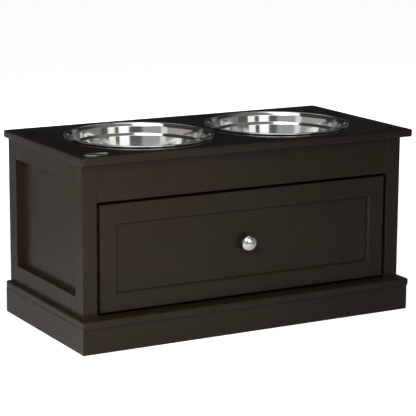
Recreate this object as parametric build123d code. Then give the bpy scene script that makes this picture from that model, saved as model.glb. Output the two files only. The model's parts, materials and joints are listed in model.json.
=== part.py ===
from build123d import *
import os

# Elevated dog feeder: a painted board cabinet with one wide drawer on roller runners,
# and two spun steel bowls that rest in holes of its top board.
# Millimetres. X to the right, Y to the back, Z up. The origin is on the floor, under the
# middle of the top board. Left-hand pieces are drawn, and right-hand ones are mirrored.

# ---- Driving dimensions ----------------------------------------------------------------

WIDTH = 590.0  # top board and base board
DEPTH = 300.0
TOP_Z = 301.0  # height of the top board's upper face
BOARD_T = 12.0  # top board, base board and plinth boards
BOARD_CORNER_R = 4.5
BOARD_EDGE_R = 2.5

BODY_HALF_W = 286.0
BODY_FRONT_Y = -127.5
BACK_Y = DEPTH / 2
BASE_TOP_Z = 52.5
PLINTH_SETBACK = 0.5  # inside the base board's edge at the sides and back
PLINTH_FRONT_SETBACK = 4.5
PLINTH_Z = 0.5

FRAME_T = 24.0  # thickness of a side frame
FRONT_STILE_W = 27.0
REAR_STILE_W = 28.5
TOP_RAIL_H = 32.5
BOTTOM_RAIL_H = 29.0
SIDE_PANEL_SINK = 11.5  # from the side frame's outer face to its panel
PANEL_T = 4.0
PANEL_LAP = 8.0  # how far a thin panel reaches into the frame round it
TENON_T = 8.0
TENON_L = 15.0
TENON_SHOULDER = 8.0
EASED = 0.7  # chamfer on the visible long edges

CROSS_RAIL_T = 12.0
FRONT_RAIL_Z = 228.0  # lower edge of the front rail
REAR_RAIL_H = 40.0
BACK_PANEL_SINK = 0.6  # the back panel's face lies this far inside the boards' edges
CLEAT = 18.0
CLEAT_Y = (-94.0, 116.0)
GLUE_BLOCK_LEG = 22.0
GLUE_BLOCK_Z = 4.0

BOWL_X = 127.0
BOWL_HOLE_R = 112.0
BOWL_RIM_R = 118.0
BOWL_WALL_R = 110.6
BOWL_SHEET = 0.8
BOWL_DEPTH = 69.0
BOWL_BEAD_R = 1.7
BOWL_LIFT_GAP = 0.3  # air under the rim's bead

DRAWER_GAP = 5.7  # air at each side of the drawer front
DRAWER_SINK = 1.0  # the drawer front's face lies this far behind the stiles
DRAWER_FRONT_T = 13.0
DRAWER_FRONT_Z = (57.0, 223.5)
RECESS_X = 231.5
RECESS_Z = (81.3, 195.3)
RECESS_DEPTH = 5.0
RECESS_EDGE_R = 4.5
DRAWER_BOARD_T = 12.0
DRAWER_SIDE_Z = (66.0, 196.0)
DRAWER_BACK_Y = 131.5
DRAWER_BOTTOM_T = 3.0
DRAWER_BOTTOM_Z = 74.0
GROOVE = 5.0

RUNNER_SPACE = 12.5  # from cabinet side to drawer side
RUNNER_T = 1.2
RUNNER_L = 250.0
RUNNER_BEND = 1.2
TRACK_Z = 63.2  # upper face of the channel's lower flange
ROLLER_R = 10.8
ROLLER_PIN_R = 3.0
ROLLER_FIT = 0.05  # radial play of a roller on its pin
ROLL_GAP = 0.3  # air between a roller and its track
CABINET_RUNNER_Y = -111.0
DRAWER_RUNNER_Y = -113.0
ROLLER_INSET = 14.0  # roller centre from its end of the runner

KNOB_Z = 139.0
KNOB_HEAD_R = 13.4
KNOB_HEAD_H = 12.0
KNOB_DOME_H = 7.4  # from the widest part of the head to its top
KNOB_LENGTH = 19.0
KNOB_CROWN_R = 16.0
KNOB_NECK_R = 4.8
KNOB_FOOT_R = 7.8
KNOB_BORE_L = 12.0

PAD_T = 2.0
PAD_SIZE = (40.0, 8.0)
PAD_CORNER_R = 2.0
PAD_INSET = 35.0  # a pad's middle from the plinth's end

FIT = 0.05  # play round screws, dowels and cams
SCREW_R = 2.0
THIN_SCREW_R = 1.6
BASE_SCREW_L = 36.0
TOP_SCREW_L = 26.0
CLEAT_SCREW_L = 30.0
DRAWER_BACK_SCREW_L = 34.0
RUNNER_SCREW_L = 11.0
LIP_SCREW_L = 12.0
BRACKET_SCREW_L = 10.0
KNOB_SCREW_L = 19.0
DOWEL_R = 3.0
DOWEL_L = 24.0
BRACKET_SIZE = 18.0
BRACKET_T = 1.5
BRACKET_HALF_H = 8.0
CAM_R = 6.0
CAM_L = 9.3
CAM_BOLT_R = 2.5
CAM_BOLT_SHANK = 24.0  # from the drawer front's inner face to the end of the bolt's head
CAM_BOLT_THREAD = 8.0

# ---- Places worked out from them -------------------------------------------------------

BOARD_UNDER_TOP_Z = TOP_Z - BOARD_T
BASE_UNDER_Z = BASE_TOP_Z - BOARD_T
FRAME_IN_X = BODY_HALF_W - FRAME_T
SIDE_PANEL_X = BODY_HALF_W - SIDE_PANEL_SINK
RAIL_Y = (BODY_FRONT_Y + FRONT_STILE_W, BACK_Y - REAR_STILE_W)
TOP_RAIL_Z = BOARD_UNDER_TOP_Z - TOP_RAIL_H
BOTTOM_RAIL_TOP_Z = BASE_TOP_Z + BOTTOM_RAIL_H
FRONT_RAIL_Y = BODY_FRONT_Y + CROSS_RAIL_T
BACK_PANEL_Y = BACK_Y - BACK_PANEL_SINK - PANEL_T
DRAWER_FRONT_X = FRAME_IN_X - DRAWER_GAP
DRAWER_FACE_Y = BODY_FRONT_Y + DRAWER_SINK
DRAWER_IN_Y = DRAWER_FACE_Y + DRAWER_FRONT_T
DRAWER_SIDE_X = FRAME_IN_X - RUNNER_SPACE
DRAWER_SIDE_IN_X = DRAWER_SIDE_X - DRAWER_BOARD_T
DRAWER_FLANGE_Z = TRACK_Z + 2 * ROLLER_R + 1.0
FRONT_ROLLER_Y = CABINET_RUNNER_Y + ROLLER_INSET
FRONT_ROLLER_Z = DRAWER_FLANGE_Z - ROLL_GAP - ROLLER_R
REAR_ROLLER_Y = DRAWER_RUNNER_Y + RUNNER_L - ROLLER_INSET
REAR_ROLLER_Z = TRACK_Z + ROLL_GAP + ROLLER_R

nodes = {}


# ---- Small helpers ---------------------------------------------------------------------


def block(x, y, z):
    """A box between two limits on each axis."""
    centre = Pos(sum(x) / 2, sum(y) / 2, sum(z) / 2)
    return centre * Box(abs(x[1] - x[0]), abs(y[1] - y[0]), abs(z[1] - z[0]))


def aim(point, direction):
    """A frame at a point, with its Z along a direction."""
    return Plane(origin=point, z_dir=direction).location


def turned(*points):
    """A solid of revolution about Z, from its half outline as (radius, height) points."""
    outline = Polyline(*[(r, 0, z) for r, z in points], close=True)
    return revolve(make_face(outline), Axis.Z)


def mirrored(shape):
    return mirror(shape, about=Plane.YZ)


def both_sides(name, shape):
    """A left-hand piece, and its right-hand twin."""
    nodes[name + "_left"] = shape
    nodes[name + "_right"] = mirrored(shape)


def group(shapes):
    """Several separate solids of one node."""
    return Compound(children=[solid for shape in shapes for solid in shape.solids()])


def mirrored_group(shapes):
    return group(shapes + [mirrored(shape) for shape in shapes])


def flat_screw(shank_r, length, grow=0.0):
    """A countersunk screw with its head's face at 0 and its point along +Z."""
    head_r = 2 * shank_r + grow
    r = shank_r + grow
    return turned((0, 0), (head_r, 0), (r, shank_r), (r, length - 2 * shank_r), (0, length + grow))


def pan_screw(shank_r, length):
    """A pan head screw, seated at 0 with its point along +Z."""
    head_r = 2 * shank_r
    head_h = 1.2 * shank_r
    return turned(
        (0, -head_h),
        (0.7 * head_r, -head_h),
        (head_r, -0.4 * head_h),
        (head_r, 0),
        (shank_r, 0),
        (shank_r, length - shank_r),
        (0, length),
    )


def pilot(r, length):
    """The hole for a straight shank from 0 along +Z."""
    return Pos(0, 0, length / 2) * Cylinder(r, length)


def bent_strip(points, thickness, bend, length):
    """A strip folded along a path of (x, z) points, and drawn out along +Y."""
    path = FilletPolyline(*points, radius=bend)
    section = trace(path, line_width=thickness)
    return extrude(Plane.XZ * section, amount=-length)


# ---- Fixings: where each one starts, and which way it points ----------------------------

BASE_SCREWS = [((-267, y, BASE_UNDER_Z), (0, 0, 1)) for y in (-119, 8, 138)]
TOP_SCREWS = [((-253, y, BOARD_UNDER_TOP_Z - CLEAT), (0, 0, 1)) for y in (-80, 8, 100)]
CLEAT_SCREWS = [((CLEAT - FRAME_IN_X, y, BOARD_UNDER_TOP_Z - 9), (-1, 0, 0)) for y in (-40, 60)]
RUNNER_SCREWS = [((RUNNER_T - FRAME_IN_X, y, 68), (-1, 0, 0)) for y in (-60, 40, 130)]
FRONT_DOWELS = [((-FRAME_IN_X, BODY_FRONT_Y + 6, z), (-1, 0, 0)) for z in (238, 258)]
REAR_DOWELS = [((-FRAME_IN_X, BACK_PANEL_Y - 6, z), (-1, 0, 0)) for z in (258, 280)]
BRACKET_Z = 272.0
BRACKET_SCREWS = [
    ((BRACKET_T - FRAME_IN_X, FRONT_RAIL_Y + 8.5, BRACKET_Z), (-1, 0, 0)),
    ((10 - FRAME_IN_X, FRONT_RAIL_Y + BRACKET_T, BRACKET_Z), (0, -1, 0)),
]
CAM_Z = (104.0, 168.0)
CAM_BOLTS = [((0.5 * DRAWER_BOARD_T - DRAWER_SIDE_X, DRAWER_IN_Y, z), (0, 1, 0)) for z in CAM_Z]
CAM_Y = DRAWER_IN_Y + CAM_BOLT_SHANK
DRAWER_BACK_SCREWS = [
    ((-DRAWER_SIDE_X, DRAWER_BACK_Y - DRAWER_BOARD_T / 2, z), (1, 0, 0)) for z in (108, 170)
]
DRAWER_RUNNER_SCREWS = [
    ((4 - DRAWER_SIDE_X, y, DRAWER_SIDE_Z[0] - RUNNER_T), (0, 0, 1)) for y in (-90, 15, 110)
]


def drilled(board, places, cutter):
    """A board with one hole of the cutter's shape at each place."""
    for point, direction in places:
        board -= aim(point, direction) * cutter
    return board


def placed(places, piece):
    """One copy of a piece at each place."""
    return [aim(point, direction) * piece for point, direction in places]


base_hole = flat_screw(SCREW_R, BASE_SCREW_L, FIT)
top_hole = flat_screw(SCREW_R, TOP_SCREW_L, FIT)
cleat_hole = flat_screw(SCREW_R, CLEAT_SCREW_L, FIT)
runner_hole = flat_screw(THIN_SCREW_R, RUNNER_SCREW_L, FIT)
lip_hole = flat_screw(THIN_SCREW_R, LIP_SCREW_L, FIT)
back_hole = flat_screw(SCREW_R, DRAWER_BACK_SCREW_L, FIT)
bracket_hole = Pos(0, 0, -2) * pilot(THIN_SCREW_R + FIT, BRACKET_SCREW_L + 2 + FIT)
dowel_hole = Pos(0, 0, -DOWEL_L / 2 - FIT) * pilot(DOWEL_R + FIT, DOWEL_L + 2 * FIT)


# ---- Cabinet ---------------------------------------------------------------------------


def eased_board(z):
    """A full-size board with rounded corners and eased edges."""
    outline = RectangleRounded(WIDTH, DEPTH, BOARD_CORNER_R)
    board = Pos(0, 0, z) * extrude(outline, amount=BOARD_T)
    rims = board.faces().sort_by(Axis.Z)[0].edges() + board.faces().sort_by(Axis.Z)[-1].edges()
    return fillet(rims, BOARD_EDGE_R)


def top_board():
    board = eased_board(BOARD_UNDER_TOP_Z)
    for x in (-BOWL_X, BOWL_X):
        board -= Pos(x, 0, TOP_Z - BOARD_T / 2) * Cylinder(BOWL_HOLE_R, 2 * BOARD_T)
    mouths = [
        edge
        for edge in board.edges().filter_by(GeomType.CIRCLE)
        if abs(edge.radius - BOWL_HOLE_R) < 0.1 and edge.center().Z > TOP_Z - 0.1
    ]
    board = chamfer(mouths, 0.5)
    board = drilled(board, TOP_SCREWS, top_hole)
    return drilled(board, [((-p[0], p[1], p[2]), d) for p, d in TOP_SCREWS], top_hole)


def base_board():
    board = eased_board(BASE_UNDER_Z)
    board = drilled(board, BASE_SCREWS, base_hole)
    return drilled(board, [((-p[0], p[1], p[2]), d) for p, d in BASE_SCREWS], base_hole)


def side_stile(y, outer_edges):
    """An upright of the left side frame, with mortises, and a groove for the thin panel."""
    stile = block((-BODY_HALF_W, -FRAME_IN_X), y, (BASE_TOP_Z, BOARD_UNDER_TOP_Z))
    corners = [e for e in stile.edges().filter_by(Axis.Z) if outer_edges(e.center())]
    stile = chamfer(corners, EASED)
    panel_y = (RAIL_Y[0] - PANEL_LAP, RAIL_Y[1] + PANEL_LAP)
    panel_z = (BOTTOM_RAIL_TOP_Z - PANEL_LAP, TOP_RAIL_Z + PANEL_LAP)
    stile -= block((-SIDE_PANEL_X, PANEL_T - SIDE_PANEL_X), panel_y, panel_z)
    for low, high in ((BASE_TOP_Z, BOTTOM_RAIL_TOP_Z), (TOP_RAIL_Z, BOARD_UNDER_TOP_Z)):
        stile -= tenon_block(low, high)
    return stile


def tenon_block(low, high):
    """The bar from tenon end to tenon end, inside a rail between two heights."""
    x = (4 - BODY_HALF_W, 4 + TENON_T - BODY_HALF_W)
    y = (RAIL_Y[0] - TENON_L, RAIL_Y[1] + TENON_L)
    return block(x, y, (low + TENON_SHOULDER, high - TENON_SHOULDER))


def side_rail(low, high):
    """A cross piece of the left side frame with a tenon at each end."""
    rail = block((-BODY_HALF_W, -FRAME_IN_X), RAIL_Y, (low, high))
    inner_z = high if low == BASE_TOP_Z else low
    edge = [
        e
        for e in rail.edges().filter_by(Axis.Y)
        if abs(e.center().Z - inner_z) < 0.1 and e.center().X < -BODY_HALF_W + 1
    ]
    rail = chamfer(edge, EASED) + tenon_block(low, high)
    panel_z = (BOTTOM_RAIL_TOP_Z - PANEL_LAP, TOP_RAIL_Z + PANEL_LAP)
    return rail - block((-SIDE_PANEL_X, PANEL_T - SIDE_PANEL_X), (-DEPTH, DEPTH), panel_z)


def build_side_frames():
    front_y = (BODY_FRONT_Y, RAIL_Y[0])
    rear_y = (RAIL_Y[1], BACK_Y)
    front = side_stile(front_y, lambda c: c.Y < RAIL_Y[0] - 1 or c.X < -BODY_HALF_W + 1)
    front = drilled(front, BASE_SCREWS[:1], base_hole)
    front = drilled(front, FRONT_DOWELS, dowel_hole)
    front = drilled(front, BRACKET_SCREWS[:1], bracket_hole)
    rear = side_stile(rear_y, lambda c: c.X < -BODY_HALF_W + 1)
    rear -= block((-FRAME_IN_X - PANEL_LAP, 0), (BACK_PANEL_Y, BACK_Y + 1), (0, TOP_Z))
    rear = drilled(rear, BASE_SCREWS[2:], base_hole)
    rear = drilled(rear, REAR_DOWELS, dowel_hole)
    rear = drilled(rear, RUNNER_SCREWS[2:], runner_hole)
    top = drilled(side_rail(TOP_RAIL_Z, BOARD_UNDER_TOP_Z), CLEAT_SCREWS, cleat_hole)
    bottom = drilled(side_rail(BASE_TOP_Z, BOTTOM_RAIL_TOP_Z), BASE_SCREWS[1:2], base_hole)
    bottom = drilled(bottom, RUNNER_SCREWS[:2], runner_hole)
    panel = block(
        (-SIDE_PANEL_X, PANEL_T - SIDE_PANEL_X),
        (RAIL_Y[0] - PANEL_LAP, RAIL_Y[1] + PANEL_LAP),
        (BOTTOM_RAIL_TOP_Z - PANEL_LAP, TOP_RAIL_Z + PANEL_LAP),
    )
    both_sides("front_stile", front)
    both_sides("rear_stile", rear)
    both_sides("side_top_rail", top)
    both_sides("side_bottom_rail", bottom)
    both_sides("side_panel", panel)


def build_cross_pieces():
    across = (-FRAME_IN_X, FRAME_IN_X)
    front = block(across, (BODY_FRONT_Y, FRONT_RAIL_Y), (FRONT_RAIL_Z, BOARD_UNDER_TOP_Z))
    visible = [
        e
        for e in front.edges()
        if e.center().Y < BODY_FRONT_Y + 0.1 and e.center().Z < BOARD_UNDER_TOP_Z - 1
    ]
    front = chamfer(visible, EASED)
    rear_y = (BACK_PANEL_Y - CROSS_RAIL_T, BACK_PANEL_Y)
    rear = block(across, rear_y, (BOARD_UNDER_TOP_Z - REAR_RAIL_H, BOARD_UNDER_TOP_Z))
    for rail, dowels, name in ((front, FRONT_DOWELS, "front_rail"), (rear, REAR_DOWELS, "rear_rail")):
        holes = group(placed(dowels, dowel_hole))
        nodes[name] = rail - holes - mirrored(holes)
    holes = group(placed(BRACKET_SCREWS[1:], bracket_hole))
    nodes["front_rail"] = nodes["front_rail"] - holes - mirrored(holes)
    back_x = FRAME_IN_X + PANEL_LAP
    back_y = (BACK_PANEL_Y, BACK_PANEL_Y + PANEL_T)
    nodes["back_panel"] = block((-back_x, back_x), back_y, (BASE_TOP_Z, BOARD_UNDER_TOP_Z))
    cleat_z = (BOARD_UNDER_TOP_Z - CLEAT, BOARD_UNDER_TOP_Z)
    cleat = block((-FRAME_IN_X, CLEAT - FRAME_IN_X), CLEAT_Y, cleat_z)
    cleat = drilled(cleat, TOP_SCREWS, top_hole)
    both_sides("top_cleat", drilled(cleat, CLEAT_SCREWS, cleat_hole))


def build_plinth():
    """Four boards under the base board, with a glue block in each corner and rubber pads."""
    x = WIDTH / 2 - PLINTH_SETBACK
    front_y = PLINTH_FRONT_SETBACK - DEPTH / 2
    back_y = DEPTH / 2 - PLINTH_SETBACK
    z = (PLINTH_Z, BASE_UNDER_Z)
    pad = extrude(RectangleRounded(*PAD_SIZE, PAD_CORNER_R), amount=PAD_T)
    pads = []
    across = {"plinth_front": (front_y, front_y + BOARD_T), "plinth_back": (back_y - BOARD_T, back_y)}
    for name, y in across.items():
        places = [Pos(s * (x - PAD_INSET), sum(y) / 2, 0) * pad for s in (-1, 1)]
        board = block((-x, x), y, z)
        ends = [e for e in board.edges().filter_by(Axis.Z) if abs(e.center().Y) > abs(sum(y)) / 2]
        nodes[name] = chamfer(ends, EASED) - group(places)
        pads += places
    nodes["foot_pads"] = group(pads)
    side_y = (front_y + BOARD_T, back_y - BOARD_T)
    both_sides("plinth_side", block((-x, BOARD_T - x), side_y, z))
    leg = GLUE_BLOCK_LEG
    corner = make_face(Polyline((0, 0), (leg, 0), (0, leg), close=True))
    prism = extrude(corner, amount=BASE_UNDER_Z - GLUE_BLOCK_Z)
    front_block = Pos(BOARD_T - x, side_y[0], GLUE_BLOCK_Z) * prism
    rear_block = Pos(BOARD_T - x, side_y[1], GLUE_BLOCK_Z) * mirror(prism, about=Plane.XZ)
    nodes["plinth_corner_blocks"] = mirrored_group([front_block, rear_block])


# ---- Bowls -----------------------------------------------------------------------------


def bowl():
    """A spun steel bowl: beaded rim, short shoulder, step in the wall, wide flat floor."""
    bead_z = TOP_Z + BOWL_LIFT_GAP + BOWL_BEAD_R
    skin_z = bead_z + BOWL_BEAD_R - BOWL_SHEET / 2
    bead_x = BOWL_RIM_R - BOWL_BEAD_R
    floor_z = skin_z - BOWL_DEPTH
    path = FilletPolyline(
        (bead_x, skin_z),
        (BOWL_WALL_R, skin_z),
        (BOWL_WALL_R - 0.5, skin_z - 17),
        (BOWL_WALL_R - 3.5, skin_z - 21),
        (BOWL_WALL_R - 11, floor_z),
        (0, floor_z),
        radius=[2.0, 1.5, 1.5, 24.0],
    )
    half = trace(path, line_width=BOWL_SHEET) + Pos(bead_x, bead_z) * Circle(BOWL_BEAD_R)
    half &= Pos(BOWL_RIM_R, TOP_Z) * Rectangle(2 * BOWL_RIM_R, 2 * BOWL_RIM_R)
    return revolve(Plane.XZ * half, Axis.Z)


# ---- Drawer ----------------------------------------------------------------------------


def drawer_front():
    """One board with a shallow recess that has a rounded mouth, grooved behind for the bottom."""
    x = DRAWER_FRONT_X
    board = block((-x, x), (DRAWER_FACE_Y, DRAWER_IN_Y), DRAWER_FRONT_Z)
    board = chamfer([e for e in board.edges() if e.center().Y < DRAWER_FACE_Y + 0.1], EASED)
    well_x = RECESS_X - RECESS_EDGE_R
    well_z = (RECESS_Z[0] + RECESS_EDGE_R, RECESS_Z[1] - RECESS_EDGE_R)
    board -= block((-well_x, well_x), (DRAWER_FACE_Y - 1, DRAWER_FACE_Y + RECESS_DEPTH), well_z)
    mouth = [
        e
        for e in board.edges()
        if e.center().Y < DRAWER_FACE_Y + 0.1
        and abs(e.center().X) < well_x + 0.1
        and well_z[0] - 0.1 < e.center().Z < well_z[1] + 0.1
    ]
    board = fillet(mouth, RECESS_EDGE_R)
    bottom_x = DRAWER_SIDE_IN_X + GROOVE
    board -= block(
        (-bottom_x, bottom_x),
        (DRAWER_IN_Y - GROOVE, DRAWER_IN_Y),
        (DRAWER_BOTTOM_Z, DRAWER_BOTTOM_Z + DRAWER_BOTTOM_T),
    )
    board -= aim((0, DRAWER_IN_Y, KNOB_Z), (0, -1, 0)) * pilot(SCREW_R + FIT, DRAWER_FRONT_T)
    thread_hole = Pos(0, 0, -CAM_BOLT_THREAD) * pilot(CAM_BOLT_R + FIT, CAM_BOLT_THREAD)
    thread = group(placed(CAM_BOLTS, thread_hole))
    return board - thread - mirrored(thread)


def cam_disc():
    """A cam lock's disc, with a pocket for the bolt's head and a cross for the screwdriver."""
    face_x = -DRAWER_SIDE_IN_X
    disc = aim((face_x, CAM_Y, 0), (-1, 0, 0)) * pilot(CAM_R, CAM_L)
    disc -= block((face_x - 9, face_x - 3), (CAM_Y - 7, CAM_Y + 0.5), (-3.2, 3.2))
    disc -= block((face_x - 1.2, face_x), (CAM_Y - 4, CAM_Y + 4), (-0.7, 0.7))
    return disc - block((face_x - 1.2, face_x), (CAM_Y - 0.7, CAM_Y + 0.7), (-4, 4))


def cam_bolt():
    """Thread, shank, neck and round head, with the shank's start at 0."""
    r = CAM_BOLT_R
    end = CAM_BOLT_SHANK
    neck = ((r, end - 7), (r - 1, end - 6.5), (r - 1, end - 3.5))
    head = ((r + 0.3, end - 2.5), (r + 0.3, end - 1), (0, end))
    return turned((0, -CAM_BOLT_THREAD), (r, -CAM_BOLT_THREAD), *neck, *head)


def build_drawer_box():
    side = block((-DRAWER_SIDE_X, -DRAWER_SIDE_IN_X), (DRAWER_IN_Y, DRAWER_BACK_Y), DRAWER_SIDE_Z)
    groove_z = (DRAWER_BOTTOM_Z, DRAWER_BOTTOM_Z + DRAWER_BOTTOM_T)
    side -= block((-DRAWER_SIDE_IN_X - GROOVE, 0), (-DEPTH, DEPTH), groove_z)
    upper = [e for e in side.edges().filter_by(Axis.Y) if e.center().Z > DRAWER_SIDE_Z[1] - 0.1]
    lower = [
        e
        for e in side.edges().filter_by(Axis.Y)
        if e.center().Z < DRAWER_SIDE_Z[0] + 0.1 and e.center().X < 0.1 - DRAWER_SIDE_X
    ]
    side = chamfer(upper + lower, 1.0)
    side = drilled(side, CAM_BOLTS, pilot(CAM_BOLT_R + FIT, CAM_BOLT_SHANK))
    cam_hole = pilot(CAM_R + FIT, CAM_L + 4 * FIT)
    side = drilled(side, [((-DRAWER_SIDE_IN_X, CAM_Y, z), (-1, 0, 0)) for z in CAM_Z], cam_hole)
    side = drilled(side, DRAWER_BACK_SCREWS, back_hole)
    both_sides("drawer_side", drilled(side, DRAWER_RUNNER_SCREWS, lip_hole))
    x = DRAWER_SIDE_IN_X
    back_y = (DRAWER_BACK_Y - DRAWER_BOARD_T, DRAWER_BACK_Y)
    back = block((-x, x), back_y, (groove_z[1], DRAWER_SIDE_Z[1]))
    holes = group(placed(DRAWER_BACK_SCREWS, back_hole))
    nodes["drawer_back"] = back - holes - mirrored(holes)
    x += GROOVE
    nodes["drawer_bottom"] = block((-x, x), (DRAWER_IN_Y - GROOVE, DRAWER_BACK_Y), groove_z)
    cams = [Pos(0, 0, z) * cam_disc() for z in CAM_Z]
    nodes["drawer_cams"] = mirrored_group(cams)
    nodes["drawer_cam_bolts"] = mirrored_group(placed(CAM_BOLTS, cam_bolt()))


def knob():
    """A turned knob: foot, waisted neck and domed head, bored for its screw."""
    under_z = KNOB_LENGTH - KNOB_HEAD_H
    brim_z = KNOB_LENGTH - KNOB_DOME_H
    bore_r = SCREW_R + FIT
    crown = JernArc((0, KNOB_LENGTH), (1, 0), KNOB_CROWN_R, -52)
    brim = ThreePointArc(crown @ 1, (KNOB_HEAD_R, brim_z), (KNOB_HEAD_R - 0.5, brim_z - 1.8))
    cup = ThreePointArc(brim @ 1, (10.2, under_z + 1.2), (6.5, under_z))
    neck = ThreePointArc(cup @ 1, (KNOB_NECK_R, under_z / 2), (KNOB_FOOT_R, 1.5))
    bore = ((bore_r, 0), (bore_r, KNOB_BORE_L), (0, KNOB_BORE_L))
    foot = Polyline(neck @ 1, (KNOB_FOOT_R, 0), *bore, (0, KNOB_LENGTH))
    outline = make_face([crown, brim, cup, neck, foot])
    seat = (0, DRAWER_FACE_Y + RECESS_DEPTH, KNOB_Z)
    return aim(seat, (0, -1, 0)) * revolve(Plane.XZ * outline, Axis.Z)


# ---- Runners ---------------------------------------------------------------------------
# Drawn for the left side, with u measured from the cabinet side towards the drawer.


def runner_x(u):
    return u - FRAME_IN_X


def cabinet_runner():
    """A formed steel channel, open to the drawer, with a stop tab behind its roller."""
    half = RUNNER_T / 2
    flange_z = DRAWER_FLANGE_Z + RUNNER_T + 1.0
    channel = bent_strip(
        [
            (runner_x(10.0), TRACK_Z - half),
            (runner_x(half), TRACK_Z - half),
            (runner_x(half), flange_z + half),
            (runner_x(9.2), flange_z + half),
        ],
        RUNNER_T,
        RUNNER_BEND,
        RUNNER_L,
    )
    runner = Pos(0, CABINET_RUNNER_Y, 0) * channel
    stop_y = FRONT_ROLLER_Y + 19.0
    stop_z = (TRACK_Z - RUNNER_T / 2, TRACK_Z + 2.5)
    runner += block((runner_x(4.5), runner_x(9.5)), (stop_y, stop_y + RUNNER_T), stop_z)
    pin_hole = pilot(ROLLER_PIN_R + FIT, RUNNER_T)
    runner -= aim((runner_x(0), FRONT_ROLLER_Y, FRONT_ROLLER_Z), (1, 0, 0)) * pin_hole
    return drilled(runner, RUNNER_SCREWS, runner_hole)


def drawer_runner():
    """A Z section: lip under the drawer side, web beside it, flange over the front roller."""
    half = RUNNER_T / 2
    web = runner_x(RUNNER_SPACE - half)
    section = bent_strip(
        [
            (runner_x(RUNNER_SPACE + 12.0), DRAWER_SIDE_Z[0] - half),
            (web, DRAWER_SIDE_Z[0] - half),
            (web, DRAWER_FLANGE_Z + half),
            (runner_x(2.0), DRAWER_FLANGE_Z + half),
        ],
        RUNNER_T,
        RUNNER_BEND,
        RUNNER_L,
    )
    runner = Pos(0, DRAWER_RUNNER_Y, 0) * section
    pin_hole = pilot(ROLLER_PIN_R + FIT, RUNNER_T)
    runner -= aim((runner_x(RUNNER_SPACE), REAR_ROLLER_Y, REAR_ROLLER_Z), (-1, 0, 0)) * pin_hole
    return drilled(runner, DRAWER_RUNNER_SCREWS, lip_hole)


def roller(width):
    """A nylon roller from 0 along +Z, with eased rims and a running fit on its pin."""
    wheel = pilot(ROLLER_R, width)
    wheel = chamfer(wheel.edges(), 0.6)
    return wheel - pilot(ROLLER_PIN_R + ROLLER_FIT, width)


def roller_pin(collar_end, head_start, head_end):
    """A riveted pin: tail in the web, collar, journal and a head that keeps the roller on."""
    return turned(
        (0, 0),
        (ROLLER_PIN_R, 0),
        (ROLLER_PIN_R, RUNNER_T),
        (5.0, RUNNER_T),
        (5.0, collar_end),
        (ROLLER_PIN_R, collar_end),
        (ROLLER_PIN_R, head_start),
        (5.0, head_start),
        (4.2, head_end),
        (0, head_end),
    )


def build_runners():
    both_sides("cabinet_runner", cabinet_runner())
    both_sides("drawer_runner", drawer_runner())
    front = aim((runner_x(0), FRONT_ROLLER_Y, FRONT_ROLLER_Z), (1, 0, 0))
    both_sides("front_roller_pin", front * roller_pin(1.8, 9.2, 10.4))
    both_sides("front_roller", front * Pos(0, 0, 2.0) * roller(7.0))
    rear = aim((runner_x(RUNNER_SPACE), REAR_ROLLER_Y, REAR_ROLLER_Z), (-1, 0, 0))
    both_sides("rear_roller_pin", rear * roller_pin(1.6, 8.4, 9.6))
    both_sides("rear_roller", rear * Pos(0, 0, 1.8) * roller(6.4))


def build_fixings():
    flat_screws = {
        "base_screws": (BASE_SCREWS, SCREW_R, BASE_SCREW_L),
        "top_screws": (TOP_SCREWS, SCREW_R, TOP_SCREW_L),
        "cleat_screws": (CLEAT_SCREWS, SCREW_R, CLEAT_SCREW_L),
        "cabinet_runner_screws": (RUNNER_SCREWS, THIN_SCREW_R, RUNNER_SCREW_L),
        "drawer_runner_screws": (DRAWER_RUNNER_SCREWS, THIN_SCREW_R, LIP_SCREW_L),
        "drawer_back_screws": (DRAWER_BACK_SCREWS, SCREW_R, DRAWER_BACK_SCREW_L),
    }
    for name, (places, shank_r, length) in flat_screws.items():
        nodes[name] = mirrored_group(placed(places, flat_screw(shank_r, length)))
    dowel = Pos(0, 0, -DOWEL_L / 2) * pilot(DOWEL_R, DOWEL_L)
    nodes["rail_dowels"] = mirrored_group(placed(FRONT_DOWELS + REAR_DOWELS, dowel))
    corner = Plane.XY * FilletPolyline(
        (BRACKET_T / 2 - FRAME_IN_X, FRONT_RAIL_Y + BRACKET_SIZE),
        (BRACKET_T / 2 - FRAME_IN_X, FRONT_RAIL_Y + BRACKET_T / 2),
        (BRACKET_SIZE - FRAME_IN_X, FRONT_RAIL_Y + BRACKET_T / 2),
        radius=1.5,
    )
    strip = extrude(trace(corner, line_width=BRACKET_T), amount=2 * BRACKET_HALF_H)
    bracket = drilled(Pos(0, 0, BRACKET_Z - BRACKET_HALF_H) * strip, BRACKET_SCREWS, bracket_hole)
    nodes["corner_brackets"] = mirrored_group([bracket])
    bracket_screw = pan_screw(THIN_SCREW_R, BRACKET_SCREW_L)
    nodes["bracket_screws"] = mirrored_group(placed(BRACKET_SCREWS, bracket_screw))
    knob_screw = pan_screw(SCREW_R, KNOB_SCREW_L)
    nodes["knob_screw"] = aim((0, DRAWER_IN_Y, KNOB_Z), (0, -1, 0)) * knob_screw


# ---- Assembly --------------------------------------------------------------------------

nodes["top_board"] = top_board()
nodes["base_board"] = base_board()
build_side_frames()
build_cross_pieces()
build_plinth()
for side, x in (("left", -BOWL_X), ("right", BOWL_X)):
    nodes["bowl_" + side] = Pos(x, 0, 0) * bowl()
nodes["drawer_front"] = drawer_front()
build_drawer_box()
nodes["knob"] = knob()
build_runners()
build_fixings()

os.makedirs("parts", exist_ok=True)
for name, shape in nodes.items():
    export_step(shape, f"parts/{name}.step")
print(len(nodes), "nodes")
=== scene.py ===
import json
import math

import bmesh
import bpy
from mathutils import Matrix, Vector


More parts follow.
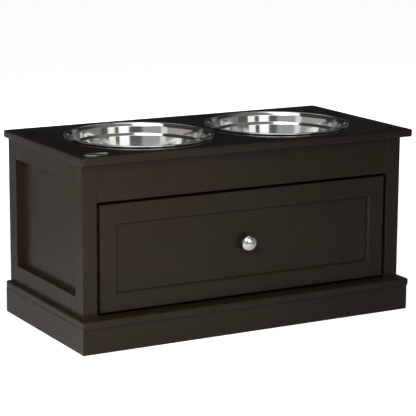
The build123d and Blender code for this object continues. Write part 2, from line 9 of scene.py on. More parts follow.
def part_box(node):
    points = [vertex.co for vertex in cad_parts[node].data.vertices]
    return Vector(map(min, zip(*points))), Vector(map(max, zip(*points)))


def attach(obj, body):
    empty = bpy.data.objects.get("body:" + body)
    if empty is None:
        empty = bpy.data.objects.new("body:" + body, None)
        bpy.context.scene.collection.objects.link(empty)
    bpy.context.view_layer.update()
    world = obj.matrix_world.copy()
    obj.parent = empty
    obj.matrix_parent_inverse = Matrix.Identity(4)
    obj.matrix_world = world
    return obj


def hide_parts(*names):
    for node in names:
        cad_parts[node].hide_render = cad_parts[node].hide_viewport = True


# Looks of an elevated dog feeder: dark painted boards, two spun steel bowls and a chrome knob.
# Metres. X to the right, Y to the back, Z up, with the origin on the floor.

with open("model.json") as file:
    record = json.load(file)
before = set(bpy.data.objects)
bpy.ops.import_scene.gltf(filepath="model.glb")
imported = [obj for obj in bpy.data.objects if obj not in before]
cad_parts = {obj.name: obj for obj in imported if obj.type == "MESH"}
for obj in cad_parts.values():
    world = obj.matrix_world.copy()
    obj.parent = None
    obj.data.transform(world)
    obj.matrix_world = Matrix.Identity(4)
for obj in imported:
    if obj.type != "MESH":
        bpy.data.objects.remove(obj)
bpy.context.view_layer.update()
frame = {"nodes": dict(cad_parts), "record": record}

MM = 0.001

# ---- Camera and frame ------------------------------------------------------------------

CAMERA_AZIMUTH = math.radians(-29.258)
CAMERA_ELEVATION = math.radians(11.796)
CAMERA_ROLL = math.radians(0.314)
CAMERA_DISTANCE = 2.8628
CAMERA_TARGET = Vector((-0.0011, 0.0, 0.1718))
CAMERA_FAR = 100.0
SENSOR_MM = 36.0
FRAME_PX = 416
FOCAL_PX = 1760.25

# ---- Sizes -----------------------------------------------------------------------------

TOP_Z = 301.0 * MM

BOWL_X = 127.0 * MM
BOWL_RIM_R = 118.0 * MM
BOWL_SHEET = 0.8 * MM
BOWL_DEPTH = 68.2 * MM
BOWL_BEAD_R = 1.3 * MM
BOWL_LIFT_GAP = 0.3 * MM
# Start and end of the curl of the rolled edge, in degrees round the middle of the bead.
BOWL_CURL = (-215, 90)
# Radius and depth of each bend of the wall, in mm, and the radius that rounds it.
BOWL_BENDS = ((113.6, 0.0), (109.4, 5.2), (107.8, 16.0), (104.6, 20.2), (97.2, 68.2))
BOWL_BEND_R = (2.0, 3.0, 1.5, 1.5, 24.0)

KNOB_LENGTH = 19.0 * MM
KNOB_HEAD_R = 13.4 * MM
KNOB_CROWN_R = 16.0 * MM
KNOB_CROWN_EDGE = 38  # degrees above level, where the crown meets the brim
KNOB_BRIM_DEPTH = 7.4 * MM
KNOB_UNDERSIDE_DEPTH = 12.0 * MM
KNOB_LIP_INSET = 0.5 * MM
KNOB_LIP_DROP = 1.8 * MM
KNOB_CUP_R = 10.2 * MM
KNOB_CUP_RISE = 1.2 * MM
KNOB_THROAT_R = 6.5 * MM
KNOB_WAIST_R = 4.8 * MM
KNOB_FOOT_R = 7.8 * MM
KNOB_FOOT_HEIGHT = 1.5 * MM
KNOB_FOOT_EASE = 0.3 * MM

PLATE_CENTRE = Vector((-0.2615, -0.127, TOP_Z))
PLATE_SEMI_AXES = (21.5 * MM, 9.0 * MM)
# Distance in from the plate's edge and height over the top board, in mm: a rim round a field.
PLATE_PROFILE = (
    (0.0, 0.0), (0.0, 0.4), (0.15, 0.7), (0.45, 0.95), (0.85, 1.0),
    (1.2, 0.85), (1.4, 0.6), (1.5, 0.4), (2.0, 0.35),
)

PINS_ACROSS = 9
PINS_UP = 5
PIN_INSET = 4.0 * MM
PIN_DOME_R = 3.6 * MM
PIN_DOME_SUNK = 3.2 * MM
PIN_DOME_EDGE = 56  # degrees above level, where the dome ends
PIN_DEPTH = 0.6 * MM

EDGE_ROUND = 0.25 * MM
EDGE_SHARP_FROM = math.radians(30)
EDGE_BOARDS = (
    "plinth_front", "plinth_back", "plinth_side_left", "plinth_side_right", "back_panel",
    "drawer_side_left", "drawer_side_right", "drawer_back", "front_rail", "drawer_front",
    "side_bottom_rail_left", "side_bottom_rail_right", "side_top_rail_left",
    "side_top_rail_right", "front_stile_left", "front_stile_right",
)

# Nearer to its axis than this, a point of a turned piece lies on it.
ON_AXIS = 1e-7

# Points along a curve, and facets round a piece.
CURL_STEPS = 30
BEND_STEPS = 10
CROWN_STEPS = 28
BRIM_STEPS = 12
CUP_STEPS = 10
NECK_STEPS = 16
DOME_STEPS = 5
BOWL_FACETS = 192
KNOB_FACETS = 96
PLATE_FACETS = 96
PIN_FACETS = 20


# ---- Outlines --------------------------------------------------------------------------


def arc(centre, radius, start, end, steps):
    """Points of a circular arc between two angles in degrees, both ends included."""
    points = []
    for n in range(steps + 1):
        angle = math.radians(start + (end - start) * n / steps)
        points.append(centre + radius * Vector((math.cos(angle), math.sin(angle))))
    return points


def arc_through(a, b, c, steps):
    """Points of the arc from a to c by way of b."""
    ab = b - a
    ac = c - a
    cross = 2 * (ab.x * ac.y - ab.y * ac.x)
    offset = Vector((
        ac.y * ab.length_squared - ab.y * ac.length_squared,
        ab.x * ac.length_squared - ac.x * ab.length_squared,
    )) / cross
    centre = a + offset
    start = math.degrees(math.atan2(a.y - centre.y, a.x - centre.x))
    end = math.degrees(math.atan2(c.y - centre.y, c.x - centre.x))
    if cross > 0 and end < start:
        end += 360
    if cross < 0 and end > start:
        end -= 360
    return arc(centre, offset.length, start, end, steps)


def rounded(corners, radii, steps):
    """A polyline whose inner corners are replaced by arcs of the given radii."""
    points = [corners[0]]
    for before, corner, after, radius in zip(corners, corners[1:], corners[2:], radii):
        a = (before - corner).normalized()
        b = (after - corner).normalized()
        half = a.angle(b) / 2
        reach = radius / math.tan(half)
        centre = corner + (a + b).normalized() * radius / math.sin(half)
        start = corner + a * reach
        end = corner + b * reach
        middle = centre + (corner - centre).normalized() * radius
        points += arc_through(start, middle, end, steps)
    return points + [corners[-1]]


def spaced(start, end, count):
    """Evenly spaced values from start to end, both included."""
    return [start + (end - start) * n / (count - 1) for n in range(count)]


# ---- Meshes ----------------------------------------------------------------------------


def new_piece(name, mesh, material, body):
    """A shown object with its material and the body that it moves with."""
    piece = bpy.data.objects.new(name, mesh)
    bpy.context.scene.collection.objects.link(piece)
    mesh.materials.append(material)
    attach(piece, body)
    return piece


def turn(shape, outline, facets, place):
    """Adds a surface turned about Z from (radius, height) points to a mesh, then places it."""
    rings = []
    for point in outline:
        if point.x < ON_AXIS:
            rings.append([shape.verts.new(place @ Vector((0, 0, point.y)))])
            continue
        ring = []
        for n in range(facets):
            angle = 2 * math.pi * n / facets
            across = Vector((point.x * math.cos(angle), point.x * math.sin(angle), point.y))
            ring.append(shape.verts.new(place @ across))
        rings.append(ring)
    for lower, top_painted_shade in zip(rings, rings[1:]):
        for n in range(facets):
            quad = [
                lower[n % len(lower)],
                lower[(n + 1) % len(lower)],
                top_painted_shade[(n + 1) % len(top_painted_shade)],
                top_painted_shade[n % len(top_painted_shade)],
            ]
            corners = list(dict.fromkeys(quad))
            if len(corners) > 2:
                shape.faces.new(corners).smooth = True


def finished(name, shape):
    """The mesh of a shape, with its faces turned outwards."""
    bmesh.ops.recalc_face_normals(shape, faces=shape.faces)
    mesh = bpy.data.meshes.new(name)
    shape.to_mesh(mesh)
    shape.free()
    return mesh


def lathe(name, outline, facets, place):
    """The mesh of a single turned surface."""
    shape = bmesh.new()
    turn(shape, outline, facets, place)
    return finished(name, shape)


# ---- Node helpers ----------------------------------------------------------------------

# The stretch of its range in which most of a texture's values lie.
NOISE_RANGE = (0.3, 0.7)
CELL_RANGE = (0.1, 0.9)


def scaled(colour, factor):
    """A colour made lighter or darker."""
    return tuple(factor * channel for channel in colour)


class Nodes:
    """Short calls that add nodes to a tree."""

    def __init__(self, tree):
        self.tree = tree

    def node(self, kind, **settings):
        made = self.tree.nodes.new(kind)
        for name, value in settings.items():
            setattr(made, name, value)
        return made

    def link(self, source, target):
        self.tree.links.new(source, target)

    def axes(self, vector):
        """The outputs X, Y and Z of a vector."""
        parts = self.node("ShaderNodeSeparateXYZ")
        self.link(vector, parts.inputs["Vector"])
        return parts.outputs

    def maths(self, operation, first, second=0.0):
        made = self.node("ShaderNodeMath", operation=operation)
        for n, value in enumerate((first, second)):
            if isinstance(value, (int, float)):
                made.inputs[n].default_value = value
            else:
                self.link(value, made.inputs[n])
        return made.outputs["Value"]

    def spread(self, value, low, high, source=NOISE_RANGE):
        """A value carried from its source range to another one."""
        made = self.node("ShaderNodeMapRange")
        made.inputs["From Min"].default_value = source[0]
        made.inputs["From Max"].default_value = source[1]
        made.inputs["To Min"].default_value = low
        made.inputs["To Max"].default_value = high
        self.link(value, made.inputs["Value"])
        return made.outputs["Result"]

    def ramp(self, value, *stops):
        """Colours along a value, from (position, colour) stops."""
        made = self.node("ShaderNodeValToRGB")
        band = made.color_ramp
        while len(band.elements) < len(stops):
            band.elements.new(0.5)
        for element, (position, colour) in zip(band.elements, stops):
            element.position = position
            element.color = (*colour, 1.0)
        self.link(value, made.inputs["Fac"])
        return made.outputs["Color"]

    def varied(self, value, colour, darkest, lightest, source=NOISE_RANGE):
        """A colour that a value makes darker or lighter, by factors."""
        low, high = source
        return self.ramp(value, (low, scaled(colour, darkest)), (high, scaled(colour, lightest)))

    def mixed(self, share, first, second):
        """The first colour, with a share of the second."""
        blend = self.node("ShaderNodeMix", data_type="RGBA")
        self.link(share, blend.inputs["Factor"])
        self.link(first, blend.inputs["A"])
        if isinstance(second, tuple):
            blend.inputs["B"].default_value = (*second, 1.0)
        else:
            self.link(second, blend.inputs["B"])
        return blend.outputs["Result"]


class Look(Nodes):
    """A material on the standard surface shader."""

    def __init__(self, name, **constants):
        self.material = bpy.data.materials.new(name)
        self.material.use_nodes = True
        super().__init__(self.material.node_tree)
        self.surface = self.tree.nodes["Principled BSDF"]
        for socket, value in constants.items():
            self.surface.inputs[socket.replace("_", " ")].default_value = value
        self.place = self.node("ShaderNodeTexCoord").outputs["Object"]

    def stretched(self, x, y, z):
        """Object coordinates scaled by a factor on each axis."""
        mapping = self.node("ShaderNodeMapping")
        mapping.inputs["Scale"].default_value = (x, y, z)
        self.link(self.place, mapping.inputs["Vector"])
        return mapping.outputs["Vector"]

    def topped(self, shade, face, between):
        """A shade that gives way to the face's, a painted shade, on what points up.

        It does so between two heights of the normal: 0 on an upright side, 1 on a level top.
        """
        upward = self.axes(self.node("ShaderNodeTexCoord").outputs["Normal"])["Z"]
        return self.mixed(self.spread(upward, 0.0, 1.0, between), shade, face)

    def noise(self, scale, detail=2.0, roughness=0.5, place=None, distortion=0.0):
        """Cloudy values, with about as many clouds in a metre as the scale says."""
        made = self.node("ShaderNodeTexNoise")
        made.inputs["Scale"].default_value = scale
        made.inputs["Detail"].default_value = detail
        made.inputs["Roughness"].default_value = roughness
        made.inputs["Distortion"].default_value = distortion
        self.link(place or self.place, made.inputs["Vector"])
        return made.outputs["Fac"]

    def cells(self, scale):
        """A random value in each cell of an irregular net."""
        net = self.node("ShaderNodeTexVoronoi")
        net.inputs["Scale"].default_value = scale
        self.link(self.place, net.inputs["Vector"])
        value = self.node("ShaderNodeRGBToBW")
        self.link(net.outputs["Color"], value.inputs["Color"])
        return value.outputs["Val"]

    def bump(self, height, strength, distance, under=None):
        """The normal of a surface that a height raises, on top of another bump."""
        made = self.node("ShaderNodeBump")
        made.inputs["Strength"].default_value = strength
        made.inputs["Distance"].default_value = distance
        self.link(height, made.inputs["Height"])
        if under:
            self.link(under, made.inputs["Normal"])
        return made.outputs["Normal"]

    def finish(self, colour, roughness=None, normal=None):
        """The material, with what varies over it linked to its shader."""
        varying = {"Base Color": colour, "Roughness": roughness, "Normal": normal}
        for socket, value in varying.items():
            if value:
                self.link(value, self.surface.inputs[socket])
        return self.material


# ---- Materials -------------------------------------------------------------------------

ESPRESSO = (0.0300, 0.0198, 0.0116)
# Painted shade: the level face of the top board is painted about half as light as the boards.
ESPRESSO_TOP_PAINTED_SHADE = scaled(ESPRESSO, 0.47)
DRAWER_FOIL = (0.030, 0.025, 0.021)
HARDBOARD = (0.028, 0.021, 0.016)
SOFTWOOD = (0.52, 0.33, 0.17)
STEEL = (0.70, 0.69, 0.67)
CHROME = (0.80, 0.80, 0.80)
PLATE_RIM = (0.36, 0.36, 0.36)
# Painted shade: what lies level on the plate, its field and the top of its rim, is painted
# darker.
PLATE_LEVEL_PAINTED_SHADE = (0.10, 0.10, 0.10)
ZINC = (0.52, 0.54, 0.56)
RUNNER_WHITE = (0.72, 0.71, 0.67)
NYLON_WHITE = (0.76, 0.75, 0.70)
RUBBER_BLACK = (0.016, 0.016, 0.017)


def painted(name, colour, smooth, rough, face=None):
    """Sprayed lacquer on fibreboard: a faint orange peel, cloudy gloss and a few specks.

    The face is a darker colour painted as shade on the sides that point up.
    """
    look = Look(name, Specular_IOR_Level=0.25)
    cloud_share, speck_share = 0.8, 0.2
    clouds = look.maths("MULTIPLY", look.noise(scale=7.0, detail=3.0), cloud_share)
    specks = look.maths("MULTIPLY", look.noise(scale=2600.0, detail=1.0), speck_share)
    tone = look.maths("ADD", clouds, specks)
    darkest, lightest = 0.92, 1.08
    shade = look.varied(tone, colour, darkest, lightest)
    # Painted shade on the sides that point up.
    if face:
        top_painted_shade = look.varied(tone, face, darkest, lightest)
        shade = look.topped(shade, top_painted_shade, between=(0.6, 0.95))
    gloss = look.spread(look.noise(scale=18.0, detail=4.0), smooth, rough)
    sanding = look.bump(look.noise(scale=90.0), strength=0.02, distance=0.25 * MM)
    peel = look.noise(scale=850.0, detail=1.5)
    relief = look.bump(peel, strength=0.05, distance=0.04 * MM, under=sanding)
    return look.finish(shade, gloss, relief)


def fibre(name, colour, along_x, scale):
    """Pressed board or foil with short fibres that lie mostly one way, along X or along Y."""
    look = Look(name, Specular_IOR_Level=0.3)
    stretch = (0.12, 1.0, 1.0) if along_x else (1.0, 0.12, 1.0)
    fibres = look.noise(scale, detail=6.0, roughness=0.65, place=look.stretched(*stretch))
    shade = look.ramp(
        fibres,
        (0.32, scaled(colour, 0.7)),
        (0.5, colour),
        (0.7, scaled(colour, 1.35)),
    )
    gloss = look.spread(fibres, low=0.42, high=0.6)
    return look.finish(shade, gloss, look.bump(fibres, strength=0.25, distance=0.15 * MM))


def softwood():
    """Bare pine: long growth rings along the stick, with pores and darker late wood."""
    look = Look("softwood", Specular_IOR_Level=0.3)
    grain = look.stretched(26.0, 1.6, 26.0)
    rings = look.node("ShaderNodeTexWave", wave_type="RINGS", rings_direction="Y")
    rings.inputs["Scale"].default_value = 3.2
    rings.inputs["Distortion"].default_value = 3.5
    rings.inputs["Detail"].default_value = 2.0
    look.link(grain, rings.inputs["Vector"])
    shade = look.ramp(
        rings.outputs["Fac"],
        (0.0, scaled(SOFTWOOD, 1.12)),
        (0.6, SOFTWOOD),
        (1.0, scaled(SOFTWOOD, 0.62)),
    )
    pores = look.noise(scale=60.0, detail=5.0, place=grain)
    gloss = look.spread(pores, low=0.55, high=0.75)
    return look.finish(shade, gloss, look.bump(pores, strength=0.3, distance=0.1 * MM))


def spun_steel():
    """Polished stainless sheet, with the fine rings that the spinning tool leaves."""
    look = Look("spun_steel", Metallic=1.0)
    axes = look.axes(look.place)
    x = look.maths("SUBTRACT", look.maths("ABSOLUTE", axes["X"]), BOWL_X)
    y = axes["Y"]
    squares = look.maths("ADD", look.maths("MULTIPLY", x, x), look.maths("MULTIPLY", y, y))
    track = look.node("ShaderNodeCombineXYZ")
    look.link(look.maths("SQRT", squares), track.inputs["X"])
    look.link(axes["Z"], track.inputs["Y"])
    rings = look.noise(scale=1500.0, detail=3.0, place=track.outputs["Vector"])
    wide_rings = look.noise(scale=160.0, place=track.outputs["Vector"])
    smears = look.noise(scale=22.0, detail=4.0, distortion=0.6)
    shade = look.varied(smears, STEEL, darkest=0.95, lightest=1.05)
    marks = look.maths("MULTIPLY", smears, look.spread(rings, low=0.8, high=1.2))
    polish = look.spread(marks, low=0.05, high=0.13)
    waves = look.bump(wide_rings, strength=0.10, distance=0.10 * MM)
    relief = look.bump(rings, strength=0.12, distance=0.015 * MM, under=waves)
    return look.finish(shade, polish, relief)


def bright_metal(name, colour, smooth, rough, ripple, face=None):
    """Plated metal with a slightly wavy surface and light handling marks.

    The face is a darker colour painted as shade on what lies level.
    """
    look = Look(name, Metallic=1.0)
    marks = look.noise(scale=140.0, detail=5.0, roughness=0.6)
    darkest, lightest = 0.94, 1.04
    shade = look.varied(marks, colour, darkest, lightest)
    # Painted shade on what lies level.
    if face:
        level_painted_shade = look.varied(marks, face, darkest, lightest)
        shade = look.topped(shade, level_painted_shade, between=(0.97, 0.999))
    gloss = look.spread(marks, smooth, rough)
    waves = look.noise(scale=60.0, detail=1.0)
    return look.finish(shade, gloss, look.bump(waves, strength=ripple, distance=0.1 * MM))


def zinc_plate():
    """Zinc plating with a fine crystal pattern and a dull bluish tone."""
    look = Look("zinc_plate", Metallic=1.0)
    crystals = look.cells(scale=900.0)
    shade = look.varied(crystals, ZINC, darkest=0.82, lightest=1.12, source=CELL_RANGE)
    gloss = look.spread(crystals, low=0.28, high=0.45, source=CELL_RANGE)
    return look.finish(shade, gloss, look.bump(crystals, strength=0.1, distance=0.02 * MM))


def soft_coat(name, colour, smooth, rough, grain, strength, specular=0.5):
    """A pale baked coat, moulded nylon or rubber: even colour under a fine grain."""
    look = Look(name, Specular_IOR_Level=specular)
    clouds = look.noise(scale=35.0, detail=3.0)
    shade = look.varied(clouds, colour, darkest=0.93, lightest=1.05)
    texture = look.noise(scale=grain)
    gloss = look.spread(texture, smooth, rough)
    return look.finish(shade, gloss, look.bump(texture, strength, distance=0.08 * MM))


# ---- Studio ----------------------------------------------------------------------------

WHITE = (1.0, 1.0, 1.0)
WARM = (1.0, 0.97, 0.90)
COOL = (0.95, 0.98, 1.0)

FLOOR_HALF = 16.0
FLOOR_DARK = (0.78, 0.78, 0.78)
FLOOR_PALE = (0.80, 0.80, 0.80)
# Glow of the floor to the eye and through glass, and as gloss mirrors it. The mirrored glow
# falls to nothing over FADE_AHEAD, which is measured along AHEAD_X times X plus Y, and to its
# share ASIDE_SHARE over FADE_ASIDE, which is measured along X plus ASIDE_Y times Y, so that the
# right end of the front boards mirrors less of it.
FLOOR_SEEN = 0.88
FLOOR_MIRRORED = 0.40
FADE_AHEAD = (-0.7, 0.5)
AHEAD_X = 0.5
FADE_ASIDE = (-0.12, 0.24)
ASIDE_Y = 0.56
ASIDE_SHARE = 0.15

# What the lamps and cards turn to.
LAMP_AIM = Vector((0, 0, 0.2))

# Soft lamps that light the object and don't show in its gloss:
# centre, width, height, brightness of the face, tint.
LAMPS = {
    "left": ((-2.6, -0.3, 0.85), 1.6, 1.3, 1.75, (1.0, 0.93, 0.84)),
    "front_left": ((-0.66, -0.68, 0.52), 0.36, 0.36, 10.8, (1.0, 0.98, 0.95)),
    "right": ((2.6, 0.4, 0.6), 1.2, 1.2, 5.0, WHITE),
    "back": ((0.2, 2.8, 0.6), 1.4, 1.0, 7.0, WHITE),
}

# Cards in front, overhead and behind that show only in gloss: the same numbers.
CARDS = {
    "card_front": ((-0.14, -1.79, 0.8), 0.60, 0.8, 1.35, COOL),
    "card_right": ((0.65, -1.89, 0.8), 0.47, 0.8, 1.15, WARM),
    "card_high": ((-0.62, -1.72, 1.75), 2.6, 1.2, 1.4, COOL),
    "card_ceiling": ((0.0, -0.1, 3.0), 1.6, 1.6, 1.5, COOL),
    "card_back": ((0.9, 1.9, 2.4), 1.6, 1.0, 1.2, COOL),
    "card_over": ((-1.09, -0.61, 2.76), 1.6, 1.2, 1.6, COOL),
}

# Large pale panels of the room, which metal and gloss mirror. Azimuth (0 at the back, 90 on the
# right) and elevation of the middle, half of each angle, softness of the edge, all in degrees,
# then brightness and tint.
PANELS = (
    (-178, 52, 75, 30, 12, 0.13, COOL),
    (-126, 12, 20, 14, 4, 0.42, COOL),
    (-109, 12, 4, 14, 3, 0.6, COOL),
    (-78, 4, 28, 8, 2, 0.42, WARM),
    (114, 12, 26, 16, 2, 0.22, WARM),
    (179, 12, 38, 16, 3, 0.10, COOL),
    (29, 2, 40, 3, 2, 0.35, COOL),
    (-20, 14, 7, 12, 3, 0.25, COOL),
    (66, 14, 7, 12, 3, 0.20, WARM),
)

# Brightness of the rest of the room, and how far up it changes from the one to the other.
ROOM_LOW = 0.015
ROOM_HIGH = 0.06
ROOM_RISE = (0.2, 0.8)


def add_camera():
    """The camera at the photograph's place, with its small roll."""
    sin_az = math.sin(CAMERA_AZIMUTH)
    cos_az = math.cos(CAMERA_AZIMUTH)
    flat = math.cos(CAMERA_ELEVATION)
    back = Vector((sin_az * flat, -cos_az * flat, math.sin(CAMERA_ELEVATION)))
    right = Vector((cos_az, sin_az, 0.0))
    up = back.cross(right)
    sin_roll = math.sin(CAMERA_ROLL)
    cos_roll = math.cos(CAMERA_ROLL)
    across = right * cos_roll + up * sin_roll
    upright = up * cos_roll - right * sin_roll
    camera = bpy.data.cameras.new("camera")
    camera.sensor_width = SENSOR_MM
    camera.lens = FOCAL_PX / FRAME_PX * SENSOR_MM
    camera.clip_end = CAMERA_FAR
    holder = bpy.data.objects.new("camera", camera)
    facing = Matrix((across, upright, back)).transposed().to_4x4()
    holder.matrix_world = Matrix.Translation(CAMERA_TARGET + back * CAMERA_DISTANCE) @ facing
    bpy.context.scene.collection.objects.link(holder)
    bpy.context.scene.camera = holder


def add_lamp(name, centre, width, height, brightness, tint):
    """A rectangular lamp that faces the object; brightness is what its face would show."""
    lamp = bpy.data.lights.new(name, "AREA")
    lamp.shape = "RECTANGLE"
    lamp.size = width
    lamp.size_y = height
    lamp.energy = brightness * math.pi * width * height
    lamp.color = tint
    holder = bpy.data.objects.new(name, lamp)
    centre = Vector(centre)
    holder.location = centre
    holder.rotation_euler = (LAMP_AIM - centre).to_track_quat("-Z", "Y").to_euler()
    holder.visible_camera = False
    bpy.context.scene.collection.objects.link(holder)
    return holder


def add_world():
    """White to the eye; for everything else a dim room with large pale panels in it."""
    world = bpy.data.worlds.new("studio")
    world.use_nodes = True
    bpy.context.scene.world = world
    room = Nodes(world.node_tree)
    axes = room.axes(room.node("ShaderNodeTexCoord").outputs["Generated"])
    azimuth = room.maths("ARCTAN2", axes["X"], axes["Y"])
    elevation = room.maths("ARCSINE", axes["Z"])
    low, high = ROOM_RISE
    colour = room.ramp(axes["Z"], (low, (ROOM_LOW,) * 3), (high, (ROOM_HIGH,) * 3))
    for facing, rise, half_width, half_height, soft, brightness, tint in PANELS:
        apart = room.maths("COSINE", room.maths("SUBTRACT", azimuth, math.radians(facing)))
        outer = math.cos(math.radians(half_width + soft))
        inner = math.cos(math.radians(half_width - soft))
        across = room.spread(apart, 0.0, 1.0, (outer, inner))
        off = room.maths("ABSOLUTE", room.maths("SUBTRACT", elevation, math.radians(rise)))
        edge = (math.radians(half_height - soft), math.radians(half_height + soft))
        upright = room.spread(off, brightness, 0.0, edge)
        panel = room.node("ShaderNodeVectorMath", operation="SCALE")
        panel.inputs[0].default_value = tint
        room.link(room.maths("MULTIPLY", across, upright), panel.inputs["Scale"])
        total = room.node("ShaderNodeVectorMath", operation="ADD")
        room.link(colour, total.inputs[0])
        room.link(panel.outputs["Vector"], total.inputs[1])
        colour = total.outputs["Vector"]
    ray = room.node("ShaderNodeLightPath")
    shown = room.mixed(ray.outputs["Is Camera Ray"], colour, WHITE)
    room.link(shown, world.node_tree.nodes["Background"].inputs["Color"])


def floor_look():
    """A pale matt floor, white to the eye and in reflections, that keeps a soft shadow."""
    look = Look("studio_floor", Specular_IOR_Level=0.0, Roughness=1.0)
    low, high = NOISE_RANGE
    shade = look.ramp(look.noise(scale=3.0), (low, FLOOR_DARK), (high, FLOOR_PALE))
    ray = look.node("ShaderNodeLightPath")
    seen = look.maths("MULTIPLY", ray.outputs["Is Camera Ray"], FLOOR_SEEN)
    axes = look.axes(look.place)
    ahead = look.maths("ADD", look.maths("MULTIPLY", axes["X"], AHEAD_X), axes["Y"])
    aside = look.maths("ADD", axes["X"], look.maths("MULTIPLY", axes["Y"], ASIDE_Y))
    faded = look.maths(
        "MULTIPLY",
        look.spread(ahead, FLOOR_MIRRORED, 0.0, FADE_AHEAD),
        look.spread(aside, 1.0, ASIDE_SHARE, FADE_ASIDE),
    )
    mirrored = look.maths("MULTIPLY", ray.outputs["Is Glossy Ray"], faded)
    through = look.maths("MULTIPLY", ray.outputs["Is Transmission Ray"], FLOOR_SEEN)
    glow = look.maths("ADD", look.maths("ADD", seen, mirrored), through)
    look.surface.inputs["Emission Color"].default_value = (*WHITE, 1.0)
    look.link(glow, look.surface.inputs["Emission Strength"])
    return look.finish(shade)


def add_floor():
    """A level square of floor, which belongs to the scene and not to the object."""
    half = FLOOR_HALF
    mesh = bpy.data.meshes.new("floor")
    corners = [(-half, -half, 0), (half, -half, 0), (half, half, 0), (-half, half, 0)]
    mesh.from_pydata(corners, [], [(0, 1, 2, 3)])
    mesh.materials.append(floor_look())
    floor = bpy.data.objects.new("floor", mesh)
    bpy.context.scene.collection.objects.link(floor)


# ---- Finishes on the solids ------------------------------------------------------------


def dress_solids(looks):
    """Gives each CAD node the material of its slot, or its own where that differs."""
    # The top board's paint is glossier and carries painted shade on its level face.
    special = {"top_board": looks["top_gloss_and_painted_shade"]}
    for part in frame["record"]["subparts"]:
        name = part["node"]
        node = frame["nodes"][name]
        node.data.materials.clear()
        node.data.materials.append(special.get(name, looks[part["material_slot"]]))


def soften_edges():
    """A small round on the board edges that the solids leave sharp."""
    for name in EDGE_BOARDS:
        bevel = frame["nodes"][name].modifiers.new("soft_edge", "BEVEL")
        bevel.width = EDGE_ROUND
        bevel.segments = 2
        bevel.limit_method = "ANGLE"
        bevel.angle_limit = EDGE_SHARP_FROM
        bevel.harden_normals = True


# ---- Pieces ----------------------------------------------------------------------------


def bowl_outline():
    """Middle line of the sheet: rolled edge, lip, sloping shoulder, step in the wall, floor."""
    bead_z = TOP_Z + BOWL_LIFT_GAP + BOWL_BEAD_R
    curl_r = BOWL_BEAD_R - BOWL_SHEET / 2
    skin_z = bead_z + curl_r
    curl = arc(Vector((BOWL_RIM_R - BOWL_BEAD_R, bead_z)), curl_r, *BOWL_CURL, CURL_STEPS)
    corners = [curl[-1]]
    corners += [Vector((r * MM, skin_z - depth * MM)) for r, depth in BOWL_BENDS]
    corners.append(Vector((0.0, skin_z - BOWL_DEPTH)))
    return curl[:-1] + rounded(corners, [r * MM for r in BOWL_BEND_R], BEND_STEPS)


def add_bowl(side, x, material):
    """A spun bowl with an open rolled edge, in place of its solid."""
    place = Matrix.Translation((x, 0, 0))
    mesh = lathe(f"spun_bowl_{side}", bowl_outline(), BOWL_FACETS, place)
    piece = new_piece(f"spun_bowl_{side}", mesh, material, f"bowl_{side}")
    sheet = piece.modifiers.new("sheet", "SOLIDIFY")
    sheet.thickness = BOWL_SHEET
    sheet.offset = 0.0
    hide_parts(f"bowl_{side}")


def knob_outline():
    """The knob from the middle of its crown, over the brim and the waist, to its foot."""
    under_z = KNOB_LENGTH - KNOB_UNDERSIDE_DEPTH
    brim_z = KNOB_LENGTH - KNOB_BRIM_DEPTH
    crown_centre = Vector((0, KNOB_LENGTH - KNOB_CROWN_R))
    crown = arc(crown_centre, KNOB_CROWN_R, 90, KNOB_CROWN_EDGE, CROWN_STEPS)
    lip = Vector((KNOB_HEAD_R - KNOB_LIP_INSET, brim_z - KNOB_LIP_DROP))
    brim = arc_through(crown[-1], Vector((KNOB_HEAD_R, brim_z)), lip, BRIM_STEPS)
    throat = Vector((KNOB_THROAT_R, under_z))
    hollow = Vector((KNOB_CUP_R, under_z + KNOB_CUP_RISE))
    cup = arc_through(lip, hollow, throat, CUP_STEPS)
    waist = Vector((KNOB_WAIST_R, under_z / 2))
    neck = arc_through(throat, waist, Vector((KNOB_FOOT_R, KNOB_FOOT_HEIGHT)), NECK_STEPS)
    foot = [
        Vector((KNOB_FOOT_R, KNOB_FOOT_EASE)),
        Vector((KNOB_FOOT_R - KNOB_FOOT_EASE, 0.0)),
        Vector((0.0, 0.0)),
    ]
    crown[0].x = 0.0
    return crown + brim[1:] + cup[1:] + neck[1:] + foot


def add_knob(material):
    """The turned knob, on the middle of its solid's back face and in place of it."""
    low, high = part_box("knob")
    middle = Matrix.Translation((0, high.y, (low.z + high.z) / 2))
    seat = middle @ Matrix.Rotation(math.pi / 2, 4, "X")
    mesh = lathe("turned_knob", knob_outline(), KNOB_FACETS, seat)
    piece = new_piece("turned_knob", mesh, material, "drawer")
    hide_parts("knob")


def add_plate(material):
    """A blank oval plate on the top, with a raised rim round a flat field."""
    shape = bmesh.new()
    rings = []
    for inset, height in PLATE_PROFILE:
        ring = []
        for n in range(PLATE_FACETS):
            angle = 2 * math.pi * n / PLATE_FACETS
            x = (PLATE_SEMI_AXES[0] - inset * MM) * math.cos(angle)
            y = (PLATE_SEMI_AXES[1] - inset * MM) * math.sin(angle)
            ring.append(shape.verts.new(PLATE_CENTRE + Vector((x, y, height * MM))))
        rings.append(ring)
    for outer, inner in zip(rings, rings[1:]):
        for n in range(PLATE_FACETS):
            after = (n + 1) % PLATE_FACETS
            shape.faces.new((outer[n], outer[after], inner[after], inner[n]))
    shape.faces.new(rings[-1])
    shape.faces.new(reversed(rings[0]))
    for face in shape.faces:
        face.smooth = len(face.verts) == 4
    new_piece("blank_plate", finished("blank_plate", shape), material, "cabinet")


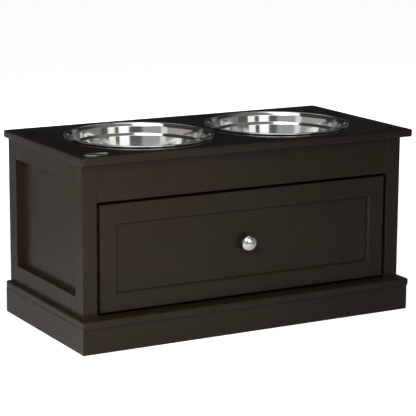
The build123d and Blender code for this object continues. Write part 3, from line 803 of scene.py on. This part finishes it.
def add_back_pins(material):
    """Small domed pins that hold the back panel along its four edges."""
    low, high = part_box("back_panel")
    left = low.x + PIN_INSET
    right = high.x - PIN_INSET
    bottom = low.z + PIN_INSET
    top = high.z - PIN_INSET
    spots = [(x, z) for x in spaced(left, right, PINS_ACROSS) for z in (bottom, top)]
    spots += [(x, z) for z in spaced(bottom, top, PINS_UP)[1:-1] for x in (left, right)]
    head = arc(Vector((0.0, -PIN_DOME_SUNK)), PIN_DOME_R, 90, PIN_DOME_EDGE, DOME_STEPS)
    head[0].x = 0.0
    head.append(Vector((head[-1].x, -PIN_DEPTH)))
    shape = bmesh.new()
    for x, z in spots:
        seat = Matrix.Translation((x, high.y, z)) @ Matrix.Rotation(-math.pi / 2, 4, "X")
        turn(shape, head, PIN_FACETS, seat)
    new_piece("back_pins", finished("back_pins", shape), material, "cabinet")


# ---- Scene -----------------------------------------------------------------------------

looks = {
    "espresso_paint": painted("espresso_paint", ESPRESSO, smooth=0.24, rough=0.32),
    # Glossier paint for the top board, with painted shade on its level face.
    "top_gloss_and_painted_shade": painted("top_gloss_and_painted_shade", ESPRESSO, smooth=0.08, rough=0.14, face=ESPRESSO_TOP_PAINTED_SHADE),
    "drawer_board": fibre("drawer_board", DRAWER_FOIL, along_x=False, scale=420.0),
    "hardboard": fibre("hardboard", HARDBOARD, along_x=True, scale=700.0),
    "raw_wood": softwood(),
    "stainless": spun_steel(),
    "chrome": bright_metal("chrome", CHROME, smooth=0.03, rough=0.07, ripple=0.02),
    "runner_coat": soft_coat(
        "runner_coat", RUNNER_WHITE, smooth=0.25, rough=0.38, grain=900.0, strength=0.1
    ),
    "zinc": zinc_plate(),
    "nylon": soft_coat("nylon", NYLON_WHITE, smooth=0.38, rough=0.5, grain=600.0, strength=0.08),
    "rubber": soft_coat(
        "rubber", RUBBER_BLACK, smooth=0.7, rough=0.9, grain=1500.0, strength=0.4, specular=0.3
    ),
}
# Plate metal with painted shade on what lies level.
plate_look = bright_metal(
    "plate_metal", PLATE_RIM, smooth=0.05, rough=0.10, ripple=0.03, face=PLATE_LEVEL_PAINTED_SHADE
)

add_camera()
add_world()
add_floor()
for name, lamp in LAMPS.items():
    add_lamp(name, *lamp).visible_glossy = False
for name, card in CARDS.items():
    add_lamp(name, *card).visible_diffuse = False

dress_solids(looks)
soften_edges()
for side, x in (("left", -BOWL_X), ("right", BOWL_X)):
    add_bowl(side, x, looks["stainless"])
add_knob(looks["chrome"])
add_plate(plate_look)
add_back_pins(looks["zinc"])

bpy.context.scene.view_settings.view_transform = "Standard"
